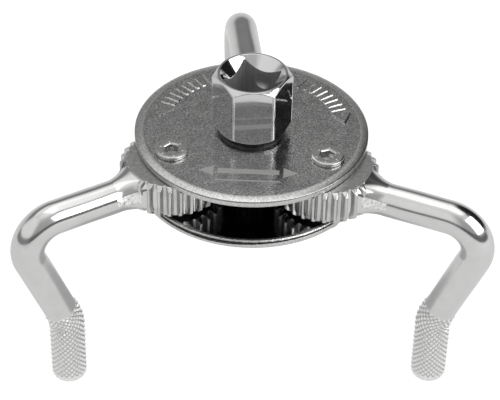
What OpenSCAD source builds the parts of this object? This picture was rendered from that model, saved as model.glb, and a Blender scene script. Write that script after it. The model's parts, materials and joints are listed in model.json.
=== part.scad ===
// Two-way three-arm oil filter wrench.
// A square drive in the hex head turns the spindle and its sun gear, and the sun
// gear swings three toothed arms inwards until their knurled tips bite the filter.
// The drive axis is Z. The three tips stand on the plane z = 0.

/* [Drive head] */
// Width across the flats of the hex head
hex_af = 21; // [19:0.5:24]
// Height of the head's top above the top plate
head_rise = 20.1; // [18:0.1:26]
// Gap between the top plate and the hex, where the round neck shows
neck_rise = 1.5; // [1:0.1:3]
// Width of the square drive socket
drive_sq = 12.7; // [12.5:0.1:13]
// Depth of the square drive socket
drive_depth = 16; // [13:0.5:17]
// How far the head is turned from the rear arm's line
head_turn = 4.2; // [0:0.2:30]

/* [Plates] */
// Diameter of both plates
plate_d = 70; // [68:0.5:74]
// Thickness of the top plate
top_t = 2.4; // [2:0.1:3]
// Thickness of the bottom plate
bottom_t = 2.6; // [2:0.1:3.5]
// Clear height between the plates
gap_h = 12.5; // [12.2:0.1:13]
// Height of the top plate's face above the tips' standing plane
plate_z = 72.5; // [70:0.5:85]

/* [Gears] */
// Gear module, pitch diameter over tooth count
gear_m = 1; // [1:0.01:1.02]
// Teeth on the sun gear, a multiple of three
sun_teeth = 24; // [24:3:24]
// Teeth that a full arm gear would have
arm_teeth = 29; // [29:1:29]
// Thickness of the gears
gear_h = 11; // [10:0.1:11]

/* [Arms] */
// Diameter of the round arm
rod_d = 10; // [9:0.1:10.4]
// Height of the arm's centre line above the standing plane
rod_z = 63.3; // [63:0.1:64]
// Distance from the pivot to where the arm's two centre lines cross at the elbow
elbow_reach = 52.3; // [50:0.1:56]
// Centre-line radius of the elbow
elbow_r = 9.5; // [8:0.1:11]
// Height of the knee, where the leaning leg turns upright
knee_z = 23.1; // [21:0.1:28]
// Centre-line radius of the knee
knee_r = 12; // [8:1:16]
// Distance from the pivot to the upright tip
tip_reach = 36.8; // [36:0.1:40]
// Outer diameter of the knurled tip
knurl_d = 11; // [10.6:0.1:11.4]
// How far the knurl runs up the leg past the knee
knurl_rise = 5.5; // [4:0.5:10]
// Swing of the rear arm off its radial line
rear_swing = 8.5; // [0:0.5:12]
// Swing of the left arm off its radial line
left_swing = 3.5; // [0:0.5:12]
// Swing of the right arm off its radial line
right_swing = 9; // [0:0.5:12]

/* [Fasteners] */
// Thread diameter of the pivot screws
screw_d = 6; // [5.5:0.1:6]
// Head diameter of the pivot screws
screw_head_d = 9.8; // [9:0.1:11]
// Height of the low screw heads
screw_head_h = 1.3; // [1:0.1:2]
// Width across the flats of the hex key socket in the screws
key_af = 4; // [3:0.5:4]
// Outer diameter of the sleeves that the arms turn on
sleeve_d = 11; // [10:0.1:12]
// Width across the flats of the lock nuts
nut_af = 10; // [9.5:0.1:11]
// Height of the lock nuts
nut_h = 6; // [5:0.1:6.5]

/* [Hidden] */
$fn = 64;
// Radial running clearance of a shaft in its hole
run = 0.05;
// Flat clearance between faces that slide on each other
slide = 0.1;

plate_r = plate_d / 2;
top_under = plate_z - top_t;
floor_z = top_under - gap_h;
under_z = floor_z - bottom_t;
gear_top = top_under - slide;
gear_low = gear_top - gear_h;
head_top = plate_z + head_rise;
hex_low = plate_z + neck_rise;
corner_r = hex_af / 2 / cos(30);

pivot_r = gear_m * (sun_teeth + arm_teeth) / 2;
sun_pitch_r = gear_m * sun_teeth / 2;
arm_pitch_r = gear_m * arm_teeth / 2;
pressure = 20;
addendum = 0.9 * gear_m;
dedendum = 1.25 * gear_m;
// How much each flank is set back, for backlash
flank_relief = 0.09;
tooth_chamfer = 0.8;
arm_tip_r = arm_pitch_r + addendum;
arm_root_r = arm_pitch_r - dedendum;
sun_tip_r = sun_pitch_r + addendum;

// Half-angle of the toothless stretch where the arm leaves its gear
root_half = 20;
rod_r = rod_d / 2;
knurl_r = knurl_d / 2;
lean = atan((elbow_reach - tip_reach) / (rod_z - knee_z));
elbow_turn = 90 + lean;
elbow_tangent = elbow_r * tan(elbow_turn / 2);
knee_tangent = knee_r * tan(lean / 2);
leg_len = (rod_z - knee_z) / cos(lean);
tip_round = 2.6;
// How far a straight stretch laps into its neighbour, and how much fuller the bends are
lap = 0.5;
seat = 0.02;
collar_r = 6.6;
collar_start = 10;
// The bar starts outside the hub, because it reaches a little below the hub's face
bar_start = arm_root_r + 1;
collar_end = 18.5;

// Recess for the detent ball in one wall of the square socket
detent_r = 3.2;
detent_depth = 1.2;
detent_drop = 7.1;

// Spindle: radii of its neck, its two-flat shank and its lower journal
neck_r = 9.2;
top_journal_r = 9;
shank_r = 7.6;
shank_flat = 6;
low_journal_r = 6;
groove_r = 5.6;
ring_t = 1;
washer_t = 1;
spindle_washer_top = under_z - run;
ring_top = spindle_washer_top - washer_t - run;
groove_top = ring_top + run;
groove_low = ring_top - ring_t - run;
spindle_end = groove_low - 1.4;

screw_r = screw_d / 2;
screw_end = under_z - nut_h - 0.9;
thread_gap = 0.02;

// Raised marks on the top plate: their height, and how far they are turned from the front screws
mark_h = 0.25;
mark_turn = 62;

// Angles of the three pivots round the drive axis
REAR = 90;
LEFT = 210;
RIGHT = 330;

module at_pivot(angle) {
    rotate([0, 0, angle]) translate([pivot_r, 0, 0]) children();
}

module tube(r_out, r_in, h) {
    difference() {
        cylinder(r = r_out, h = h);
        translate([0, 0, -1]) cylinder(r = r_in, h = h + 2);
    }
}

module hex_prism(af, h) {
    cylinder(r = af / 2 / cos(30), h = h, $fn = 6);
}

// Involute angle, in degrees, of a base circle at radius r
function involute(rb, r) =
    let (t = sqrt(max(0, pow(r / rb, 2) - 1))) t * 180 / PI - atan(t);

// Half-angle of a tooth at radius r
function half_tooth(teeth, rp, r) =
    let (rb = rp * cos(pressure))
    90 / teeth - flank_relief / rp * 180 / PI + involute(rb, rp) - involute(rb, max(r, rb));

function polar(r, a) = [r * cos(a), r * sin(a)];

// One tooth as a polygon, centred on the X axis, reaching below the root circle
module tooth(teeth) {
    rp = gear_m * teeth / 2;
    low = rp - dedendum - 0.4;
    high = rp + addendum;
    steps = 5;
    radii = [for (i = [0:steps]) low + (high - low) * i / steps];
    polygon(concat(
        [for (r = radii) polar(r, -half_tooth(teeth, rp, r))],
        [for (i = [steps:-1:0]) polar(radii[i], half_tooth(teeth, rp, radii[i]))]));
}

// A gear blank whose teeth are bevelled at both ends
module bevelled_disc(r, h) {
    rotate_extrude() polygon([[0, 0], [r - tooth_chamfer, 0], [r, tooth_chamfer],
        [r, h - tooth_chamfer], [r - tooth_chamfer, h], [0, h]]);
}

// Raised two-way mark, centred on the X axis: a row of radial bars between two arrowheads
module raised_mark(mid_r) {
    bar_pitch = 5;
    bars_each_way = 3;
    head_angle = 20;
    head_len = 5;
    head_half = 3;
    for (i = [-bars_each_way:bars_each_way]) rotate([0, 0, i * bar_pitch])
        translate([mid_r - 2.4, -0.55, 0]) cube([4.8, 1.1, mark_h + 0.1]);
    for (side = [-1, 1]) rotate([0, 0, side * head_angle]) translate([mid_r, 0, 0])
        linear_extrude(mark_h + 0.1)
            polygon([[-head_half, 0], [head_half, 0], [0, side * head_len]]);
}

module top_plate() {
    roll_w = 2.2;
    roll_h = 0.5;
    steps = 5;
    color("gainsboro") difference() {
        union() {
            translate([0, 0, top_under]) rotate_extrude($fn = 128) polygon(concat(
                [[0, 0], [plate_r - 0.2, 0], [plate_r, 0.2]],
                [for (i = [0:steps]) [plate_r - roll_w * (1 - cos(90 * i / steps)),
                    top_t - roll_h * (1 - sin(90 * i / steps))]],
                [[0, top_t]]));
            for (a = [LEFT - mark_turn, RIGHT + mark_turn]) rotate([0, 0, a])
                translate([0, 0, plate_z - 0.1]) raised_mark(28);
        }
        translate([0, 0, top_under - 1]) cylinder(r = top_journal_r + run, h = top_t + 3);
        for (a = [REAR, LEFT, RIGHT]) at_pivot(a)
            translate([0, 0, top_under - 1]) cylinder(r = screw_r + 0.1, h = top_t + 3);
    }
}

module bottom_plate() {
    bevel = 0.3;
    color("dimgray") difference() {
        translate([0, 0, under_z]) rotate_extrude($fn = 128) polygon([[0, 0], [plate_r - bevel, 0],
            [plate_r, bevel], [plate_r, bottom_t - bevel], [plate_r - bevel, bottom_t], [0, bottom_t]]);
        translate([0, 0, under_z - 1]) cylinder(r = low_journal_r + run, h = bottom_t + 2);
        for (a = [REAR, LEFT, RIGHT]) at_pivot(a)
            translate([0, 0, under_z - 1]) cylinder(r = screw_r + 0.1, h = bottom_t + 2);
    }
}

// Hex with its corners turned off at both ends
module hex_head() {
    ring_r = hex_af / 2 - 0.2;
    drop = (corner_r + 1 - ring_r) * tan(40);
    translate([0, 0, hex_low]) intersection() {
        hex_prism(hex_af, head_top - hex_low);
        rotate_extrude() polygon([[0, 0], [ring_r, 0], [corner_r + 1, drop],
            [corner_r + 1, head_top - hex_low - drop], [ring_r, head_top - hex_low],
            [0, head_top - hex_low]]);
    }
}

// The part of the gear seat that the two flats leave
module shank(r, flat, h) {
    intersection() {
        cylinder(r = r, h = h);
        translate([-flat, -r - 1, 0]) cube([2 * flat, 2 * r + 2, h]);
    }
}

module drive_spindle() {
    sink_r = 9.7;
    sink_depth = sink_r - drive_sq / 2 + 0.4;
    // Two of the square's sides lie along a pair of the hex's flats
    square_turn = 60;
    color("silver") rotate([0, 0, head_turn]) difference() {
        union() {
            hex_head();
            translate([0, 0, plate_z + slide]) cylinder(r = neck_r, h = neck_rise + 1);
            translate([0, 0, gear_top + run]) cylinder(r = top_journal_r, h = top_t + 1);
            translate([0, 0, gear_low]) shank(shank_r, shank_flat, gear_h + 1);
            translate([0, 0, groove_top]) cylinder(r = low_journal_r, h = gear_low - groove_top + 1);
            translate([0, 0, groove_low - 0.5]) cylinder(r = groove_r, h = groove_top - groove_low + 1);
            translate([0, 0, spindle_end]) cylinder(r1 = low_journal_r - 0.5, r2 = low_journal_r, h = 0.5);
            translate([0, 0, spindle_end + 0.5])
                cylinder(r = low_journal_r, h = groove_low - spindle_end - 0.5);
        }
        rotate([0, 0, square_turn]) {
            translate([-drive_sq / 2, -drive_sq / 2, head_top - drive_depth])
                cube([drive_sq, drive_sq, drive_depth + 1]);
            // Recess for the detent ball of the ratchet's square
            translate([drive_sq / 2 - detent_r + detent_depth, 0, head_top - detent_drop])
                sphere(r = detent_r);
        }
        translate([0, 0, head_top - sink_depth])
            cylinder(r1 = sink_r - sink_depth, r2 = sink_r + 0.2, h = sink_depth + 0.2);
    }
}

module sun_gear() {
    color("slategray") difference() {
        translate([0, 0, gear_low]) intersection() {
            linear_extrude(gear_h) union() {
                circle(r = sun_pitch_r - dedendum);
                for (i = [0:sun_teeth - 1]) rotate([0, 0, 90 + i * 360 / sun_teeth]) tooth(sun_teeth);
            }
            bevelled_disc(sun_tip_r, gear_h);
        }
        rotate([0, 0, head_turn]) translate([0, 0, gear_low - 1])
            shank(shank_r + 0.03, shank_flat + 0.03, gear_h + 2);
    }
}

module sun_washer() {
    color("dimgray") translate([0, 0, floor_z + 0.02])
        tube(sun_pitch_r - dedendum - 0.5, low_journal_r + 0.1, gear_low - floor_z - 0.07);
}

module spindle_washer() {
    color("gainsboro") translate([0, 0, spindle_washer_top - washer_t])
        tube(11, low_journal_r + 0.1, washer_t);
}

// External ring with an open gap and two lugs with plier holes
module retaining_ring() {
    color("dimgray") rotate([0, 0, 45]) translate([0, 0, ring_top - ring_t]) difference() {
        union() {
            cylinder(r = low_journal_r + 1.7, h = ring_t);
            for (side = [-1, 1]) rotate([0, 0, side * 15])
                translate([low_journal_r + 1.9, 0, 0]) cylinder(r = 1.5, h = ring_t);
        }
        translate([0, 0, -1]) cylinder(r = groove_r + run, h = ring_t + 2);
        for (side = [-1, 1]) rotate([0, 0, side * 15])
            translate([low_journal_r + 1.9, 0, -1]) cylinder(r = 0.7, h = ring_t + 2);
        translate([0, -0.8, -1]) cube([12, 1.6, ring_t + 2]);
    }
}

// Straight round bar in the arm's plane, along a direction, lapped into its neighbours at both ends
module bar(x, z, angle, len, r) {
    translate([x, 0, z]) rotate([0, 90 - angle, 0]) translate([0, 0, -lap]) cylinder(r = r, h = len + 2 * lap);
}

// Bent round bar in the arm's plane, about a centre, from one angle for a turn
module bend(x, z, bend_r, from, turn, r) {
    translate([x, 0, z]) rotate([90, 0, 0]) rotate([0, 0, from])
        rotate_extrude(angle = turn) translate([bend_r, 0]) circle(r = r + seat);
}

// Upright knurled end with a rounded bottom edge
module tip_end(r, h) {
    rotate_extrude() {
        square([r - tip_round, h]);
        translate([0, tip_round]) square([r, h - tip_round]);
        translate([r - tip_round, tip_round]) circle(r = tip_round);
    }
}

// The toothed hub, with no teeth where the arm leaves it along X
module arm_gear(swing) {
    // A gap between two teeth faces the drive axis, whatever the arm's swing
    first = 180 - swing + 180 / arm_teeth;
    intersection() {
        linear_extrude(gear_h) union() {
            circle(r = arm_root_r);
            for (i = [0:arm_teeth - 1]) {
                a = first + i * 360 / arm_teeth;
                off = abs((a + 540) % 360 - 180);
                if (off > root_half) rotate([0, 0, a]) tooth(arm_teeth);
            }
        }
        bevelled_disc(arm_tip_r, gear_h);
    }
}

// The collar that thickens the arm where it meets the hub, kept between the hub's faces
module arm_collar() {
    intersection() {
        translate([collar_start, 0, rod_z]) rotate([0, 90, 0])
            cylinder(r1 = collar_r, r2 = rod_r - 0.1, h = collar_end - collar_start);
        translate([0, -collar_r - 1, gear_low]) cube([collar_end + 1, 2 * collar_r + 2, gear_h]);
    }
}

module arm(angle, swing) {
    elbow_x = elbow_reach - elbow_tangent;
    leg_x = elbow_reach - elbow_tangent * sin(lean);
    leg_z = rod_z - elbow_tangent * cos(lean);
    knurl_x = tip_reach + knurl_rise * sin(lean);
    knurl_z = knee_z + knurl_rise * cos(lean);
    color("silver") at_pivot(angle) rotate([0, 0, swing]) difference() {
        union() {
            translate([0, 0, gear_low]) arm_gear(swing);
            arm_collar();
            bar(bar_start, rod_z, 0, elbow_x - bar_start, rod_r);
            bend(elbow_x, rod_z - elbow_r, elbow_r, -lean, elbow_turn, rod_r);
            bar(leg_x, leg_z, -90 - lean, leg_len - elbow_tangent - knurl_rise, rod_r);
            bar(knurl_x, knurl_z, -90 - lean, knurl_rise - knee_tangent, knurl_r);
            bend(tip_reach + knee_r, knee_z - knee_tangent, knee_r, 180 - lean, lean, knurl_r);
            translate([tip_reach, 0, 0]) tip_end(knurl_r, knee_z - knee_tangent + lap);
        }
        translate([0, 0, gear_low - 1]) cylinder(r = sleeve_d / 2 + run, h = gear_h + 2);
    }
}

module arm_rear() { arm(REAR, rear_swing); }
module arm_left() { arm(LEFT, left_swing); }
module arm_right() { arm(RIGHT, right_swing); }

module pivot_screw(angle) {
    bevel = 0.3;
    color("silver") at_pivot(angle) difference() {
        union() {
            translate([0, 0, plate_z]) rotate_extrude() polygon([[0, 0], [screw_head_d / 2, 0],
                [screw_head_d / 2, screw_head_h - bevel], [screw_head_d / 2 - bevel, screw_head_h],
                [0, screw_head_h]]);
            translate([0, 0, screw_end + 0.5]) cylinder(r = screw_r, h = plate_z - screw_end);
            translate([0, 0, screw_end]) cylinder(r1 = screw_r - 0.5, r2 = screw_r, h = 0.5);
        }
        translate([0, 0, plate_z + screw_head_h - 2.6]) hex_prism(key_af, 4);
    }
}

module pivot_sleeve(angle) {
    color("gray") at_pivot(angle) translate([0, 0, floor_z])
        tube(sleeve_d / 2, screw_r + run, gap_h);
}

module arm_washer(angle) {
    color("dimgray") at_pivot(angle) translate([0, 0, floor_z + 0.02])
        tube(11, sleeve_d / 2 + 0.1, gear_low - floor_z - 0.07);
}

// Hex nut with a turned collar that holds the plastic insert at its free end
module lock_nut(angle) {
    collar_h = 1.8;
    lip = 0.4;
    color("gainsboro") at_pivot(angle) translate([0, 0, under_z - nut_h]) difference() {
        union() {
            cylinder(r = nut_af / 2 - 0.5, h = collar_h + 0.1);
            translate([0, 0, collar_h]) intersection() {
                hex_prism(nut_af, nut_h - collar_h);
                cylinder(r1 = nut_af / 2 + 0.1, r2 = nut_af / 2 + 3.6, h = nut_h - collar_h);
            }
        }
        translate([0, 0, -1]) cylinder(r = screw_r + thread_gap, h = nut_h + 2);
        translate([0, 0, lip]) cylinder(r = nut_af / 2 - 1.1, h = collar_h - lip);
        translate([0, 0, -1]) cylinder(r = nut_af / 2 - 1.4, h = lip + 1.5);
    }
}

module nut_insert(angle) {
    color("steelblue") at_pivot(angle) translate([0, 0, under_z - nut_h + 0.45])
        tube(nut_af / 2 - 1.15, screw_r + thread_gap, 1.3);
}

top_plate();
bottom_plate();
drive_spindle();
sun_gear();
sun_washer();
spindle_washer();
retaining_ring();
arm_rear();
arm_left();
arm_right();
pivot_screw(REAR);  // pivot_screw_rear
pivot_screw(LEFT);  // pivot_screw_left
pivot_screw(RIGHT);  // pivot_screw_right
pivot_sleeve(REAR);  // pivot_sleeve_rear
pivot_sleeve(LEFT);  // pivot_sleeve_left
pivot_sleeve(RIGHT);  // pivot_sleeve_right
arm_washer(REAR);  // arm_washer_rear
arm_washer(LEFT);  // arm_washer_left
arm_washer(RIGHT);  // arm_washer_right
lock_nut(REAR);  // lock_nut_rear
lock_nut(LEFT);  // lock_nut_left
lock_nut(RIGHT);  // lock_nut_right
nut_insert(REAR);  // nut_insert_rear
nut_insert(LEFT);  // nut_insert_left
nut_insert(RIGHT);  // nut_insert_right
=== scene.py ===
import json
import math

import bmesh
import bpy
import numpy as np
from mathutils import Matrix, Vector

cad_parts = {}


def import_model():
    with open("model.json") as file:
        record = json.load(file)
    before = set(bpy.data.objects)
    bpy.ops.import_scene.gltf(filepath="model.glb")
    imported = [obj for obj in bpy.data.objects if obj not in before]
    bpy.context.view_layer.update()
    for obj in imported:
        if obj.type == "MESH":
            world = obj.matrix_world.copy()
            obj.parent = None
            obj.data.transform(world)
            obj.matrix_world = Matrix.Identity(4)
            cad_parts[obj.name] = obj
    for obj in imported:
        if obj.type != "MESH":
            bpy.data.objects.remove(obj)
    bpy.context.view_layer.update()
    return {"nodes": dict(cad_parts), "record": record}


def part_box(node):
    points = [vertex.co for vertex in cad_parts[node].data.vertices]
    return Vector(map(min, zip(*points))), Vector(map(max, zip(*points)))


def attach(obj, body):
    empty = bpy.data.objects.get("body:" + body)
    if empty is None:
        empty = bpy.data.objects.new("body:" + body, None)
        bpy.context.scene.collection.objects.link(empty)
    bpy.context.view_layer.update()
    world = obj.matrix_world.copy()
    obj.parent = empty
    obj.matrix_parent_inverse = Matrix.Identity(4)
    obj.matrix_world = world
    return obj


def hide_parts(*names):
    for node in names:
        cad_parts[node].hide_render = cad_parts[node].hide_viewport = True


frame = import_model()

MM = 0.001
SIDES = {"rear": 90, "left": 210, "right": 330}    # where each pivot stands round the drive axis
rng = np.random.default_rng(7)

# ------------------------------------------------------------------ levels, from the frame (mm)


def span(node, axis):
    low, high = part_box(node)
    return low[axis] / MM, high[axis] / MM


PLATE_R = span("bottom_plate", 0)[1]
UNDER_Z, FLOOR_Z = span("bottom_plate", 2)
TOP_UNDER = span("top_plate", 2)[0]
HEAD_TOP = span("drive_spindle", 2)[1]
SPINDLE_END = span("drive_spindle", 2)[0]
GEAR_LOW, GEAR_TOP = span("sun_gear", 2)
SCREW_END, SCREW_TOP = span("pivot_screw_left", 2)
TOP_T = 2.4
PLATE_Z = TOP_UNDER + TOP_T
PIVOTS = {j["child"]: Vector(j["pos_m"]) / MM for j in frame["record"]["behaviour"]["joints"]}

# The design's own dimensions that no box gives (mm, degrees)
HEX_AF = 21.0
HEAD_TURN = 4.2
SQUARE_TURN = 60.0
DRIVE_SQ = 12.7
SOCKET_DEPTH = 16.0
NECK_RISE = 1.5
ROD_R = 5.0
ROD_Z = 63.3
ELBOW_REACH = 52.3
ELBOW_R = 9.5
KNEE_Z = 23.1
KNEE_R = 12.0
TIP_REACH = 36.8
KNURL_R = 5.5
KNURL_RISE = 5.5        # how far the knurl runs up the leg past the knee
KNURL_PITCH = 1.86      # along the bar, from one diamond to the next
KNURL_COUNT = 20        # diamonds round the bar
KNURL_DEPTH = 0.5
TIP_ROUND = 2.6
CAP_ROWS = 9
SWING = {"rear": 8.5, "left": 3.5, "right": 9.0}
GEAR_M = 1.0
ARM_TEETH = 29
ARM_PITCH_R = GEAR_M * ARM_TEETH / 2
ROOT_R = ARM_PITCH_R - 1.25 * GEAR_M
HUB_TIP_R = ARM_PITCH_R + 0.9 * GEAR_M
PRESSURE = math.radians(20)
SLEEVE_R = 5.5
ROOT_HALF = 20.0        # the hub has no teeth this far to either side of the bar
PIVOT_BORE_R = 3.1
BEARING_R = 9.0         # the spindle, from the neck down
NECK_R = 9.2
NECK_RING_R = 9.3
NECK_TOP_R = 9.4
SHANK_R = 7.6
SHANK_HALF = 6.0        # across the shank's two flats
JOURNAL_R = 6.0
GROOVE_R = 5.6
GROOVE_Z = (52.75, 53.9)
SCREW_HEAD_R = 4.9
SCREW_KEY = 2.0
SCREW_KEY_DEPTH = 2.6
THREAD_R = 3.0
THREAD_DEPTH = 0.5
THREAD_TOP = 56.4
THREAD_ROWS = 64
DOT_R = 3.4             # the ring of dots on a screw head
DETENT_R = 3.2
DETENT_DEPTH = 1.2
DETENT_DROP = 7.1
MARK_R = 28.0
MARK_TURN = 68.0
MARK_H = 0.3
MARK_HALF = 32          # half the angle that one row of marks takes
TICK_HALF = (0.5, 2.4)  # half width, half length
TICK_PITCH = 5          # degrees
TEAR_AT = 252.0         # where the bottom plate sheared worst, in degrees

# Lighting: how brightly the floor glows to reflections and to the camera
FLOOR_GLOW = (0.54, 0.88)
# A painted shadow on the floor under the tool: its glow to reflections drops inside this ring: nearest and
# furthest edge (m), and the glow inside
PAINTED_SHADOW_UNDER_TOOL = (0.034, 0.050, 0.28)
LIGHT_AIM = Vector((0, 0, 0.05))

# ------------------------------------------------------------------ node materials


def colour_ramp(tree, value, stops):
    """A colour ramp on `value`, from (place, grey or colour) stops."""
    r = tree.nodes.new("ShaderNodeValToRGB")
    elements = r.color_ramp.elements
    while len(elements) < len(stops):
        elements.new(0.5)
    for e, (pos, v) in zip(elements, stops):
        e.position = pos
        e.color = (*v, 1) if isinstance(v, tuple) else (v, v, v, 1)
    tree.links.new(value, r.inputs["Fac"])
    return r.outputs["Color"]


class Mat:
    """Builds one procedural metal or plastic."""

    def __init__(self, name, color, metallic=1.0, rough=0.3, coat=0.0):
        self.mat = bpy.data.materials.new(name)
        self.mat.use_nodes = True
        self.tree = self.mat.node_tree
        self.bsdf = self.tree.nodes["Principled BSDF"]
        self.set("Base Color", (*color, 1))
        self.set("Metallic", metallic)
        self.set("Roughness", rough)
        if coat:
            self.set("Coat Weight", coat)
        self.coords = self.add("ShaderNodeTexCoord").outputs["Object"]
        self.normal = None

    def set(self, socket, value):
        self.bsdf.inputs[socket].default_value = value

    def add(self, kind):
        return self.tree.nodes.new(kind)

    def link(self, a, b):
        self.tree.links.new(a, b)

    def noise(self, scale, detail=3.0, stretch=(1, 1, 1), rough=0.55):
        """Noise of about `scale` lumps per mm in object space."""
        m = self.add("ShaderNodeMapping")
        m.inputs["Scale"].default_value = [s * scale / MM for s in stretch]
        self.link(self.coords, m.inputs["Vector"])
        n = self.add("ShaderNodeTexNoise")
        n.inputs["Scale"].default_value = 1.0
        n.inputs["Detail"].default_value = detail
        n.inputs["Roughness"].default_value = rough
        self.link(m.outputs["Vector"], n.inputs["Vector"])
        return n.outputs["Fac"]

    def vary(self, socket, value, stops):
        """Lets a socket follow `value` through a ramp."""
        self.link(colour_ramp(self.tree, value, stops), self.bsdf.inputs[socket])

    def bump(self, value, depth_mm):
        b = self.add("ShaderNodeBump")
        b.inputs["Distance"].default_value = depth_mm * MM
        self.link(value, b.inputs["Height"])
        if self.normal is not None:
            self.link(self.normal, b.inputs["Normal"])
        self.normal = b.outputs["Normal"]
        self.link(self.normal, self.bsdf.inputs["Normal"])


def zinc_face():
    """Zinc plate over rolled sheet: glossy, with a fine dark and light speckle."""
    m = Mat("zinc_face", (0.40, 0.40, 0.395), rough=0.22)
    grain = m.noise(1.9, 5.0, rough=0.8)
    m.vary("Base Color", grain, [
        (0.36, (0.20, 0.20, 0.20)), (0.5, (0.43, 0.43, 0.425)), (0.64, (0.78, 0.78, 0.77))])
    m.vary("Roughness", m.noise(0.25, 2.0), [(0.3, 0.17), (0.7, 0.26)])
    m.bump(grain, 0.019)
    m.bump(m.noise(0.12, 2.0), 0.03)
    return m.mat


def zinc_roll_highlight():
    """The same zinc where the sheet's edge rolls over, painted lighter there as a highlight: the speckle is
    drawn out and shallow there.
    """
    m = Mat("zinc_roll_highlight", (0.60, 0.60, 0.59), rough=0.25)
    grain = m.noise(1.9, 4.0, rough=0.7)
    m.vary("Base Color", grain, [
        (0.36, (0.46, 0.46, 0.455)), (0.5, (0.61, 0.61, 0.60)), (0.64, (0.76, 0.76, 0.75))])
    m.bump(grain, 0.006)
    return m.mat


def sheared_edge():
    """The sheared rim of the sheet, with fine upright tear marks."""
    m = Mat("sheared_edge", (0.66, 0.66, 0.65), rough=0.4)
    tears = m.noise(3.0, 4.0, stretch=(1, 1, 0.3), rough=0.7)
    m.vary("Base Color", tears, [
        (0.3, (0.46, 0.46, 0.455)), (0.5, (0.64, 0.64, 0.63)), (0.7, (0.74, 0.74, 0.73))])
    m.bump(tears, 0.03)
    return m.mat


def seam():
    """Grime and shadow in the fine step that shearing leaves."""
    m = Mat("seam", (0.24, 0.24, 0.24), rough=0.5)
    grit = m.noise(3.2, 4.0, rough=0.7)
    m.vary("Base Color", grit, [(0.42, (0.10, 0.10, 0.10)), (0.6, (0.42, 0.42, 0.42))])
    m.bump(grit, 0.05)
    return m.mat


def gritty_line():
    """The torn band under the bottom plate's upper edge: black pits and bright specks."""
    m = Mat("gritty_line", (0.2, 0.2, 0.2), rough=0.45)
    grit = m.noise(3.4, 4.0, rough=0.75)
    m.vary("Base Color", grit, [
        (0.48, (0.012, 0.012, 0.012)), (0.60, (0.12, 0.12, 0.12)), (0.72, (0.7, 0.7, 0.69))])
    m.bump(grit, 0.10)
    return m.mat


def torn_edge():
    """The upper lip of the bottom plate's rim: bright, rough, rubbed."""
    m = Mat("torn_edge", (0.74, 0.74, 0.73), rough=0.34)
    tears = m.noise(3.0, 4.0, rough=0.75)
    m.vary("Base Color", tears, [
        (0.40, (0.14, 0.14, 0.14)), (0.50, (0.60, 0.60, 0.59)), (0.7, (0.86, 0.86, 0.85))])
    m.bump(tears, 0.06)
    return m.mat


def dark_mirror():
    """The bottom plate's faces: smooth plating that shows what stands above it."""
    m = Mat("dark_mirror", (0.44, 0.44, 0.445), rough=0.1)
    m.vary("Base Color", m.noise(0.4, 3.0), [(0.3, (0.38, 0.38, 0.385)), (0.7, (0.50, 0.50, 0.505))])
    m.vary("Roughness", m.noise(0.15, 2.0), [(0.3, 0.07), (0.7, 0.14)])
    m.bump(m.noise(0.2, 2.0), 0.01)
    return m.mat


def inner_face_shade():
    """The top plate's underside and bores, painted near black as shade."""
    m = Mat("inner_face_shade", (0.02, 0.02, 0.02), rough=0.5)
    m.vary("Base Color", m.noise(1.0, 3.0), [(0.3, (0.012, 0.012, 0.012)), (0.7, (0.035, 0.035, 0.035))])
    return m.mat


def polished_chrome():
    m = Mat("polished_chrome", (0.68, 0.68, 0.685), rough=0.06)
    m.vary("Roughness", m.noise(0.12, 3.0), [(0.35, 0.045), (0.7, 0.10)])
    m.bump(m.noise(0.14, 2.0), 0.006)
    return m.mat


def socket_wall():
    """The broached walls of the square socket: thinly plated and softer than the outside."""
    m = Mat("socket_wall", (0.46, 0.46, 0.465), metallic=0.8, rough=0.42)
    m.vary("Base Color", m.noise(0.8, 3.0, stretch=(1, 1, 0.1)), [
        (0.3, (0.40, 0.40, 0.405)), (0.7, (0.50, 0.50, 0.505))])
    m.bump(m.noise(1.0, 2.0, stretch=(1, 1, 0.1)), 0.02)
    return m.mat


def satin_chrome():
    """Bright plating over a forging: the reflections waver slightly along the bar."""
    m = Mat("satin_chrome", (0.70, 0.70, 0.695), rough=0.13)
    m.vary("Base Color", m.noise(0.25, 1.0), [(0.25, (0.68, 0.68, 0.675)), (0.75, (0.72, 0.72, 0.715))])
    m.vary("Roughness", m.noise(0.2, 1.0), [(0.3, 0.10), (0.7, 0.16)])
    m.bump(m.noise(0.08, 0.0), 0.05)
    return m.mat


def knurled_chrome():
    m = Mat("knurled_chrome", (0.95, 0.95, 0.94), metallic=0.7, rough=0.3)
    m.vary("Base Color", m.noise(1.4, 3.0), [(0.3, (0.90, 0.90, 0.89)), (0.7, (0.98, 0.98, 0.97))])
    m.bump(m.noise(3.0, 2.0), 0.01)
    return m.mat


def knurl_groove_shade():
    """The bottoms of the knurl's cuts, painted darker as shade in the grooves."""
    m = Mat("knurl_groove_shade", (0.60, 0.60, 0.595), rough=0.36)
    m.vary("Base Color", m.noise(1.4, 3.0), [(0.3, (0.48, 0.48, 0.475)), (0.7, (0.70, 0.70, 0.695))])
    return m.mat


def hub_face():
    """The flat ends of the toothed hubs: ground, then plated, dull."""
    m = Mat("hub_face", (0.42, 0.42, 0.415), rough=0.34)
    m.vary("Base Color", m.noise(0.9, 4.0, rough=0.7), [(0.3, (0.30, 0.30, 0.30)), (0.7, (0.50, 0.50, 0.49))])
    m.bump(m.noise(1.5, 4.0), 0.012)
    return m.mat


def tooth_steel():
    m = Mat("tooth_steel", (0.64, 0.64, 0.635), rough=0.24)
    m.vary("Base Color", m.noise(0.8, 3.0, stretch=(1, 1, 0.2)), [
        (0.3, (0.52, 0.52, 0.515)), (0.7, (0.70, 0.70, 0.69))])
    m.bump(m.noise(1.2, 3.0, stretch=(1, 1, 0.3)), 0.02)
    return m.mat


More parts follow.
